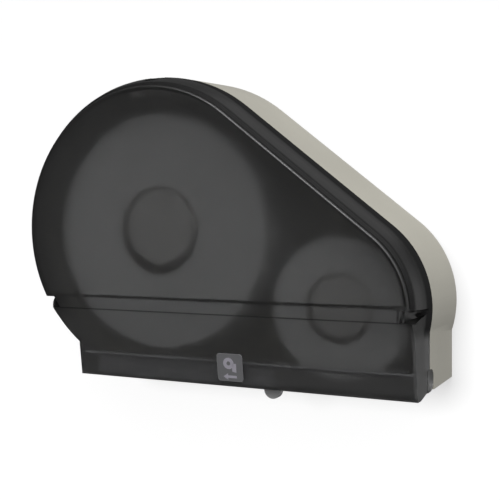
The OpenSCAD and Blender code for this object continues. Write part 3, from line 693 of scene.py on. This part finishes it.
class DISPENSER_OT_studio(bpy.types.Operator):
    """Adds the wall and floor, the soft lights and the camera"""

    bl_idname = "dispenser.studio"
    bl_label = "Studio"

    def execute(self, context):
        self.backdrop(settings()[1])
        self.lights(context.scene)
        self.camera(context.scene)
        context.scene.view_settings.view_transform = "Standard"
        return {"FINISHED"}

    def backdrop(self, colours):
        """One sheet: a floor that sweeps up into the wall on which the dispenser hangs."""
        wall, floor, bend, wide, front, top, steps = 0.001, -0.9, 0.25, 3.0, -3.0, 2.4, 16
        path = [(front, floor)]
        for i in range(steps + 1):
            turn = math.radians(90 * i / steps)
            path.append((wall - bend + bend * math.sin(turn), floor + bend - bend * math.cos(turn)))
        path.append((wall, top))
        form = bmesh.new()
        rows = [[form.verts.new((x, y, z)) for x in (-wide, wide)] for y, z in path]
        for a, b in zip(rows, rows[1:]):
            form.faces.new((a[0], a[1], b[1], b[0])).smooth = True
        mesh = new_mesh("backdrop", form)
        mesh.materials.append(backdrop_finish(colours))
        sheet = new_holder("backdrop", mesh)
        for kind in ("diffuse", "glossy", "transmission", "volume_scatter", "shadow"):
            setattr(sheet, "visible_" + kind, False)

    def lights(self, scene):
        """A sky with soft lights in it, and a lamp that lights only the backdrop."""
        scene.world = bpy.data.worlds.new("studio")
        scene.world.use_nodes = True
        tree = scene.world.node_tree
        tree.nodes.clear()
        start = Wire(tree)
        way = start.node("ShaderNodeTexCoord", output="Generated")
        glow = SKY_LOW + SKY_MORE * way.parts()[2].ramp(-0.1, 0.9)
        for towards, strength, edge, core in SOFT_LIGHTS:
            near = start.node(
                "ShaderNodeVectorMath", {"operation": "DOT_PRODUCT"},
                {0: way, 1: Vector(towards).normalized()}, "Value",
            )
            glow = glow + strength * near.ramp(edge, core)
        sky = start.node("ShaderNodeBackground", {}, {"Color": (1, 1, 1, 1), "Strength": glow})
        start.node("ShaderNodeOutputWorld", {}, {"Surface": sky})
        lamp = bpy.data.lights.new("wall_wash", "SUN")
        lamp.energy, lamp.angle = LAMP_STRENGTH, math.radians(LAMP_WIDTH)
        holder = new_holder("wall_wash", lamp)
        holder.rotation_euler = Vector(LAMP_WAY).to_track_quat("-Z", "Y").to_euler()
        only = bpy.data.collections.new("backdrop_only")
        only.objects.link(bpy.data.objects["backdrop"])
        holder.light_linking.receiver_collection = only

    def camera(self, scene):
        """Stands to the right of the dispenser and a little above its middle."""
        yaw, pitch, roll = (math.radians(angle) for angle in CAMERA_TURN)
        ahead = Vector((-math.sin(yaw) * math.cos(pitch), math.cos(yaw) * math.cos(pitch), -math.sin(pitch)))
        right = Vector((math.cos(yaw), math.sin(yaw), 0.0))
        up = right.cross(ahead)
        across = right * math.cos(roll) + up * math.sin(roll)
        upright = up * math.cos(roll) - right * math.sin(roll)
        lens = bpy.data.cameras.new("camera")
        lens.sensor_width, lens.lens = CAMERA_SENSOR, CAMERA_LENS
        lens.clip_start, lens.clip_end = 0.05, 20.0
        holder = new_holder("camera", lens)
        facing = Matrix((across, upright, -ahead)).transposed().to_4x4()
        holder.matrix_world = Matrix.Translation(CAMERA_PLACE) @ facing
        scene.camera = holder


class DISPENSER_OT_cover(bpy.types.Operator):
    """Makes the smoke cover"""

    bl_idname = "dispenser.cover"
    bl_label = "Cover"

    def execute(self, context):
        sizes, colours = settings()
        mesh = clean_copy("cover_shell", COVER_EDGE, reshape=self.reshape)
        new_piece("cover", mesh, smoke_plastic(colours, sizes), "cover", "smoke_cover", "cover_shell")
        return {"FINISHED"}

    def reshape(self, form):
        """Runs the groove's ends out, fills the side and rounds the face's edge."""
        run_out_groove(form)
        shape_side(form)
        round_face_edge(form, settings()[0].face_round * MM)


class DISPENSER_OT_housing(bpy.types.Operator):
    """Makes the wall housing and the keeper inside it"""

    bl_idname = "dispenser.housing"
    bl_label = "Housing"

    def execute(self, context):
        sizes, colours = settings()
        plastic = moulded_plastic("housing_plastic", colours.housing, sizes, rough=0.45, darken_low=0.2)
        new_piece("housing", clean_copy("base_housing", sizes.edge), plastic, "base", "housing", "base_housing")
        # The keeper's plastic is the hub's made a quarter lighter: painted light, so that it shows as a lit patch
        # through the cover's dark top
        inner = moulded_plastic("keeper_painted_light_plastic", shade(colours.hub, 1.25), sizes, rough=0.5, grain_by=0.7)
        new_piece("keeper", clean_copy("lock_keeper", INNER_EDGE), inner, "base", "keeper", "lock_keeper")
        return {"FINISHED"}


class DISPENSER_OT_hubs(bpy.types.Operator):
    """Makes the two hubs on which the rolls hang"""

    bl_idname = "dispenser.hubs"
    bl_label = "Hubs"

    def execute(self, context):
        sizes, colours = settings()
        plastic = moulded_plastic("hub_plastic", colours.hub, sizes, rough=0.38, grain_by=0.8)
        for node in ("jumbo_hub", "stub_hub"):
            new_piece(node + "_moulding", clean_copy(node, sizes.edge), plastic, "base", "hub", node)
        return {"FINISHED"}


class DISPENSER_OT_rolls(bpy.types.Operator):
    """Makes the two paper rolls and their cardboard cores"""

    bl_idname = "dispenser.rolls"
    bl_label = "Rolls"

    def execute(self, context):
        sizes, colours = settings()
        board = cardboard(colours)
        for kind, body, seed in (("jumbo", "jumbo_roll", 3), ("stub", "stub_roll", 8)):
            low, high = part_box(kind + "_paper")
            inner_low, inner_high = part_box(kind + "_core")
            centre = (low + high) / 2
            outer, inner = (high.x - low.x) / 2, (inner_high.x - inner_low.x) / 2
            paper = wound_paper(kind + "_tissue", colours, centre, sizes.ring)
            profile = self.paper_profile(inner, outer, -high.y, -low.y, sizes.roll_edge * MM, seed)
            tissue = turned(profile, centre.x, centre.z)
            new_piece(kind + "_tissue", tissue, paper, body, "paper", kind + "_paper")
            tube = clean_copy(kind + "_core", CORE_EDGE)
            new_piece(kind + "_tube", tube, board, body, "cardboard", kind + "_core")
        return {"FINISHED"}

    def paper_profile(self, inner, outer, back, front, edge, seed):
        """A roll's cut: both ends wander a little from layer to layer, and the outer edges are soft."""
        chance = random.Random(seed)
        # Between two corners and the most that a layer wanders, in millimetres, and the share that the next one keeps
        step, most, kept = 1.6, 0.22, 0.7
        count = int((outer - inner) / (step * MM))
        ends = []
        for _ in range(2):
            wander, run = 0.0, []
            for i in range(count + 1):
                wander = kept * wander + chance.uniform(0.0, most) * MM
                run.append((inner + (outer - edge - inner) * i / count, wander))
            ends.append(run)
        round_it = [
            (outer - edge + edge * math.sin(turn), edge - edge * math.cos(turn))
            for turn in map(math.radians, (22, 45, 67, 90))
        ]
        outline = [(r, front - w) for r, w in ends[0]] + [(r, front - d) for r, d in round_it]
        outline += [(r, back + d) for r, d in reversed(round_it)] + [(r, back + w) for r, w in reversed(ends[1])]
        return outline


class DISPENSER_OT_tear_bars(bpy.types.Operator):
    """Gives the toothed tear bars their brushed steel"""

    bl_idname = "dispenser.tear_bars"
    bl_label = "Tear bars"

    def execute(self, context):
        sizes, colours = settings()
        steel = brushed_metal("tear_bar_steel", colours.steel, along=0)
        for node in ("jumbo_tear_bar", "stub_tear_bar"):
            mesh = clean_copy(node, sizes.fine_edge, angle=25.0, segments=1)
            new_piece(node + "_steel", mesh, steel, "base", "tear_bar", node)
        return {"FINISHED"}


# The cross recess: its arms' span to the head's radius, and its middle's height to the head's height
RECESS_SPAN, RECESS_LIFT = 1.15, 0.55
# The head's top starts this share of its height above its middle, and is domed by this share of it
HEAD_TOP, HEAD_DOME = 0.4, 0.3


def screw_tree(finish):
    """A node tree that stands cross-recess screws on points, each along its point's way."""
    tree = bpy.data.node_groups.new("Screws", "GeometryNodeTree")
    face = tree.interface
    face.new_socket("Geometry", in_out="INPUT", socket_type="NodeSocketGeometry")
    for name, value in (
        ("Head Radius", 0.003), ("Head Height", 0.002), ("Shank Radius", 0.0015), ("Shank Length", 0.01),
        ("Recess Width", 0.0007), ("Dome", 0.0006),
    ):
        socket = face.new_socket(name, in_out="INPUT", socket_type="NodeSocketFloat")
        socket.default_value = value
    face.new_socket("Geometry", in_out="OUTPUT", socket_type="NodeSocketGeometry")

    def add(kind, settings=None, inputs=None, output=0):
        return Wire(tree).node(kind, settings, inputs, output)

    group = tree.nodes.new("NodeGroupInput")
    size = {s.name: Wire(tree, s) for s in group.outputs if s.name}
    head = add(
        "GeometryNodeMeshCylinder", {"fill_type": "TRIANGLE_FAN"},
        {"Vertices": 32, "Side Segments": 2, "Fill Segments": 5, "Radius": size["Head Radius"],
         "Depth": size["Head Height"]},
    )
    x, y, z = add("GeometryNodeInputPosition").parts()
    across = (x * x + y * y) / (size["Head Radius"] * size["Head Radius"])
    top = z.maths("GREATER_THAN", z, size["Head Height"] * HEAD_TOP)
    drop = add("ShaderNodeCombineXYZ", {}, {2: across * top * size["Dome"] * -1.0})
    head = add("GeometryNodeSetPosition", {}, {"Geometry": head, "Offset": drop})
    cuts = []
    for turn in (0.0, math.pi / 2):
        arm = add(
            "GeometryNodeMeshCube", {},
            {"Size": add("ShaderNodeCombineXYZ", {}, {
                0: size["Head Radius"] * RECESS_SPAN, 1: size["Recess Width"], 2: size["Head Height"],
            })},
        )
        cuts.append(add(
            "GeometryNodeTransform", {},
            {"Geometry": arm, "Rotation": (0, 0, turn),
             "Translation": add("ShaderNodeCombineXYZ", {}, {2: size["Head Height"] * RECESS_LIFT})},
        ))
    boolean = tree.nodes.new("GeometryNodeMeshBoolean")
    boolean.operation = "DIFFERENCE"
    boolean.solver = "EXACT"
    tree.links.new(head.socket, boolean.inputs["Mesh 1"])
    for cut in cuts:
        tree.links.new(cut.socket, boolean.inputs["Mesh 2"])
    head = add(
        "GeometryNodeTransform", {},
        {"Geometry": Wire(tree, boolean.outputs["Mesh"]),
         "Translation": add("ShaderNodeCombineXYZ", {}, {2: size["Head Height"] * 0.5})},
    )
    shank = add(
        "GeometryNodeMeshCylinder", {},
        {"Vertices": 24, "Radius": size["Shank Radius"], "Depth": size["Shank Length"]},
    )
    shank = add(
        "GeometryNodeTransform", {},
        {"Geometry": shank, "Translation": add("ShaderNodeCombineXYZ", {}, {2: size["Shank Length"] * -0.5})},
    )
    join = tree.nodes.new("GeometryNodeJoinGeometry")
    tree.links.new(shank.socket, join.inputs[0])
    tree.links.new(head.socket, join.inputs[0])
    way = add("GeometryNodeInputNamedAttribute", {"data_type": "FLOAT_VECTOR"}, {"Name": "way"})
    turned_to = add("FunctionNodeAlignRotationToVector", {"axis": "Z"}, {"Vector": way})
    screws = add(
        "GeometryNodeInstanceOnPoints", {},
        {"Points": size["Geometry"], "Instance": Wire(tree, join.outputs[0]), "Rotation": turned_to},
    )
    screws = add("GeometryNodeRealizeInstances", {}, {"Geometry": screws})
    screws = add("GeometryNodeSetMaterial", {}, {"Geometry": screws, "Material": finish})
    end = tree.nodes.new("NodeGroupOutput")
    tree.links.new(screws.socket, end.inputs[0])
    return tree


class DISPENSER_OT_fasteners(bpy.types.Operator):
    """Makes the screws with their cross recesses, and the hinge pins"""

    bl_idname = "dispenser.fasteners"
    bl_label = "Fasteners"

    def execute(self, context):
        sizes, colours = settings()
        zinc = plated_metal("zinc_plate", colours.steel)
        tree = screw_tree(zinc)
        # node, body, the way from shank to head
        for node, body, way in (
            ("hub_screws", "base", (0, -1, 0)), ("tear_bar_screws", "base", (0, 0, 1)),
            ("keeper_screws", "base", (0, 0, -1)), ("cam_screw", "lock", (0, 0, -1)),
        ):
            self.screws(node, body, Vector(way), tree, sizes, zinc)
        new_piece("pins", clean_copy("hinge_pins", PIN_EDGE), zinc, "base", "fastener", "hinge_pins")
        return {"FINISHED"}

    def screws(self, node, body, way, tree, sizes, zinc):
        """Stands the tree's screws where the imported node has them, at its sizes."""
        boxes = loose_boxes(node)
        axis = max(range(3), key=lambda i: abs(way[i]))
        head_r, shank_r, head_h = self.measure(node, *boxes[0], way, axis)
        points = []
        for low, high in boxes:
            middle = (low + high) / 2
            end = high[axis] if way[axis] > 0 else low[axis]
            middle[axis] = end - way[axis] * head_h
            points.append(middle)
        mesh = bpy.data.meshes.new(node + "_points")
        mesh.from_pydata([tuple(p) for p in points], [], [])
        attribute = mesh.attributes.new("way", "FLOAT_VECTOR", "POINT")
        for item in attribute.data:
            item.vector = way
        holder = new_holder(node + "_points", mesh)
        made = holder.modifiers.new("Screws", "NODES")
        made.node_group = tree
        named = {i.name: i.identifier for i in tree.interface.items_tree if i.in_out == "INPUT"}
        for name, value in (
            ("Head Radius", head_r), ("Head Height", head_h), ("Shank Radius", shank_r),
            ("Shank Length", (high - low)[axis] - head_h), ("Recess Width", sizes.recess * MM),
            ("Dome", HEAD_DOME * head_h),
        ):
            made[named[name]] = value
        new_piece(node + "_plated", settled(holder), zinc, body, "fastener", node)

    def measure(self, node, low, high, way, axis):
        """Head radius, shank radius and head height of a packed screw, read from its corners' rings."""
        # The least radius of a ring, the share of the widest radius that still is the head, and the least head height
        thinnest, nearly, lowest = SAME, 0.95, 0.4 * MM
        across = [i for i in range(3) if i != axis]
        middle = (low + high) / 2
        rings = {}
        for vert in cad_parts[node].data.vertices:
            if all(low[i] - SAME_FINE <= vert.co[i] <= high[i] + SAME_FINE for i in range(3)):
                radius = math.dist([vert.co[i] for i in across], [middle[i] for i in across])
                rings.setdefault(round(vert.co[axis] / MM, 2), []).append(radius)
        far = max(max(r) for r in rings.values())
        levels = sorted(rings, reverse=way[axis] > 0)
        thin = min(max(r) for r in rings.values() if max(r) > thinnest)
        head_end = [z for z in levels if max(rings[z]) > nearly * far][-1]
        return far, thin, max(abs(head_end - levels[0]) * MM, lowest)


class DISPENSER_OT_lock(bpy.types.Operator):
    """Makes the cam lock"""

    bl_idname = "dispenser.lock"
    bl_label = "Lock"

    def execute(self, context):
        sizes, colours = settings()
        nickel = plated_metal("nickel_plate", colours.nickel)
        for node, body in (
            ("lock_housing", "cover"), ("lock_nut", "cover"), ("lock_plug", "lock"), ("lock_cam", "lock"),
        ):
            new_piece(node + "_plated", clean_copy(node, sizes.fine_edge), nickel, body, "lock_metal", node)
        return {"FINISHED"}


class DISPENSER_OT_slide(bpy.types.Operator):
    """Makes the slide door, its rail and its finger tab"""

    bl_idname = "dispenser.slide"
    bl_label = "Slide door"

    def execute(self, context):
        sizes, colours = settings()
        plastic = moulded_plastic("slide_plastic", colours.slide, sizes, rough=0.4)
        for node, body in (("slide_rail", "cover"), ("slide_door", "slide"), ("finger_tab", "slide")):
            new_piece(node + "_moulding", clean_copy(node, INNER_EDGE), plastic, body, "slide", node)
        return {"FINISHED"}


# The marks about the plate's middle, in millimetres: the roll's middle and radii, its hanging sheet, and the arrow
ROLL_MIDDLE, ROLL_RADII = (-1.2, 4.0), (5.4, 2.0)
SHEET_MARK = ((2.4, 4.0), (6.6, 4.0), (6.6, -4.4), (2.4, -3.6))
ARROW_MARK = ((-7.0, -8.6), (-2.4, -11.8), (-2.4, -9.8), (6.6, -9.8), (6.6, -7.4), (-2.4, -7.4), (-2.4, -5.4))


class DISPENSER_OT_icon(bpy.types.Operator):
    """Makes the icon plate with its marks: a roll with its sheet, and an arrow"""

    bl_idname = "dispenser.icon"
    bl_label = "Icon plate"

    def execute(self, context):
        sizes, colours = settings()
        plate = printed_plate("icon_plate_plastic", colours.plate, sizes)
        new_piece("icon", clean_copy("icon_plate", ICON_EDGE), plate, "cover", "icon", "icon_plate")
        paint = printed_plate("icon_mark_paint", colours.mark, sizes, rough=0.5)
        new_piece("icon_marks", self.marks(sizes.mark_proud * MM), paint, "cover", "icon")
        return {"FINISHED"}

    def marks(self, proud):
        """A roll with its paper hanging and an arrow to the left, as low blocks on the plate's face."""
        to_plate = self.plate_face()
        outer, inner = [self.circle(radius) for radius in ROLL_RADII]
        form = bmesh.new()

        def ring(path, height):
            return [form.verts.new(to_plate @ Vector((x * MM, z * MM, height))) for x, z in path]

        self.walls(form, ring(outer, -proud), ring(outer, proud), ring(inner, proud), ring(inner, -proud))
        for outline in (SHEET_MARK, ARROW_MARK):
            low, high = ring(outline, -proud), ring(outline, proud)
            form.faces.new(low)
            form.faces.new(high)
            self.walls(form, low, high, closed=False)
        bmesh.ops.recalc_face_normals(form, faces=form.faces)
        return new_mesh("icon_marks", form)

    def circle(self, radius, steps=40):
        """A circle about the roll's middle, in millimetres."""
        turns = [2 * math.pi * i / steps for i in range(steps)]
        return [(ROLL_MIDDLE[0] + radius * math.cos(t), ROLL_MIDDLE[1] + radius * math.sin(t)) for t in turns]

    def plate_face(self):
        """The matrix that takes a point on the plate, given along it, up it and out of it, to its place."""
        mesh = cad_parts["icon_plate"].data
        front = [f for f in mesh.polygons if f.normal.y < -0.9]
        out = sum((f.normal * f.area for f in front), Vector()).normalized()
        middle = sum((f.center * f.area for f in front), Vector()) / sum(f.area for f in front)
        along = Vector((1, 0, 0))
        return Matrix.Translation(middle) @ Matrix((along, out.cross(along), out)).transposed().to_4x4()

    def walls(self, form, *loops, closed=True):
        """Joins each loop of corners to the next, and the last to the first where the walls close."""
        for a, b in zip(loops, loops[1:] + (loops[:1] if closed else ())):
            for i in range(len(a)):
                j = (i + 1) % len(a)
                form.faces.new((a[i], a[j], b[j], b[i]))


PIECES = ("studio", "cover", "housing", "hubs", "rolls", "tear_bars", "fasteners", "lock", "slide", "icon")


class DISPENSER_PT_panel(bpy.types.Panel):
    """Lists the dispenser's pieces, with the sizes and colours they are made by"""

    bl_idname = "DISPENSER_PT_panel"
    bl_label = "Dispenser"
    bl_space_type = "VIEW_3D"
    bl_region_type = "UI"
    bl_category = "Dispenser"

    def draw(self, context):
        for name in PIECES:
            self.layout.operator("dispenser." + name)
        for group in settings():
            box = self.layout.box()
            for item in group.bl_rna.properties:
                if item.identifier not in ("rna_type", "name"):
                    box.prop(group, item.identifier)


CLASSES = (
    DISPENSER_PG_sizes, DISPENSER_PG_colours, DISPENSER_OT_studio, DISPENSER_OT_cover, DISPENSER_OT_housing,
    DISPENSER_OT_hubs, DISPENSER_OT_rolls, DISPENSER_OT_tear_bars, DISPENSER_OT_fasteners, DISPENSER_OT_lock,
    DISPENSER_OT_slide, DISPENSER_OT_icon, DISPENSER_PT_panel,
)


def register():
    for item in CLASSES:
        bpy.utils.register_class(item)
    bpy.types.Scene.dispenser_sizes = bpy.props.PointerProperty(type=DISPENSER_PG_sizes)
    bpy.types.Scene.dispenser_colours = bpy.props.PointerProperty(type=DISPENSER_PG_colours)


def unregister():
    del bpy.types.Scene.dispenser_colours
    del bpy.types.Scene.dispenser_sizes
    for item in reversed(CLASSES):
        bpy.utils.unregister_class(item)


def main():
    register()
    for name in PIECES:
        getattr(bpy.ops.dispenser, name)()


if __name__ == "__main__":
    main()
